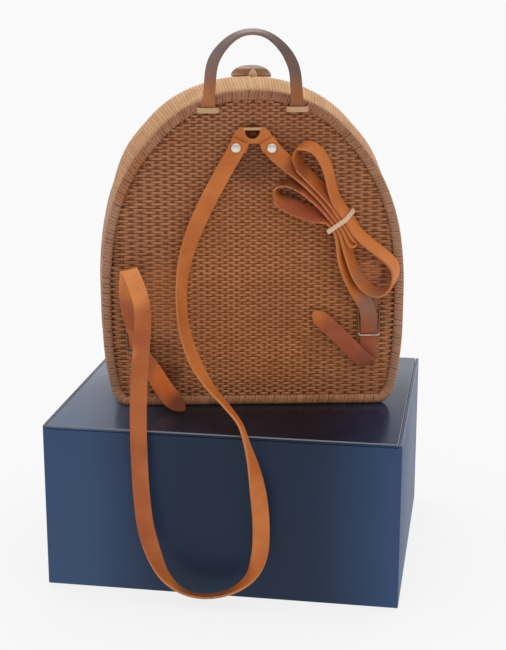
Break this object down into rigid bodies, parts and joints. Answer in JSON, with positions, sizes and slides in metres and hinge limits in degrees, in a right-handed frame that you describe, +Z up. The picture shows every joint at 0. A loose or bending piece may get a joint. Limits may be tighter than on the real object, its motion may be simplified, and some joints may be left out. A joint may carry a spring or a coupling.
{
  "type": "woven dome backpack purse on a plain display box",
  "caption": "Dome-shaped woven cane backpack purse with leather shoulder straps, a top handle and a clasp, standing on a plain lidded gift box.",
  "frame": {"origin": "centre of the box's underside", "axes": "+Z up; the bag's strap side faces -Y; +X to the right when the strap side is looked at"},
  "size_m": [0.3558, 0.3144, 0.4829],
  "materials": {
    "panel_weave": "matte woven cane",
    "gusset_weave": "matte ribbed cane",
    "cane_trim": "satin cane",
    "strap_leather": "satin",
    "handle_leather": "satin",
    "rivet_metal": "satin",
    "buckle_metal": "polished",
    "tie_band": "matte",
    "box_board": "matte paper"
  },
  "bodies": {
    "root": {"back_panel": "panel_weave", "back_rim": "cane_trim", "gusset": "gusset_weave", "front_rim": "cane_trim", "front_panel": "panel_weave", "handle": "handle_leather", "handle_binding_left": "cane_trim", "handle_binding_right": "cane_trim", "strap_yoke": "strap_leather", "yoke_bar": "cane_trim", "rivet_left": "rivet_metal", "rivet_right": "rivet_metal", "strap_left": "strap_leather", "strap_right": "strap_leather", "strap_tie": "tie_band", "buckle_left": "buckle_metal", "buckle_right": "buckle_metal", "anchor_tab_left": "strap_leather", "anchor_tab_right": "strap_leather", "clasp_bridge": "handle_leather", "clasp_peg": "cane_trim", "box_tray": "box_board", "box_lid": "box_board"}
  },
  "joints": []
}
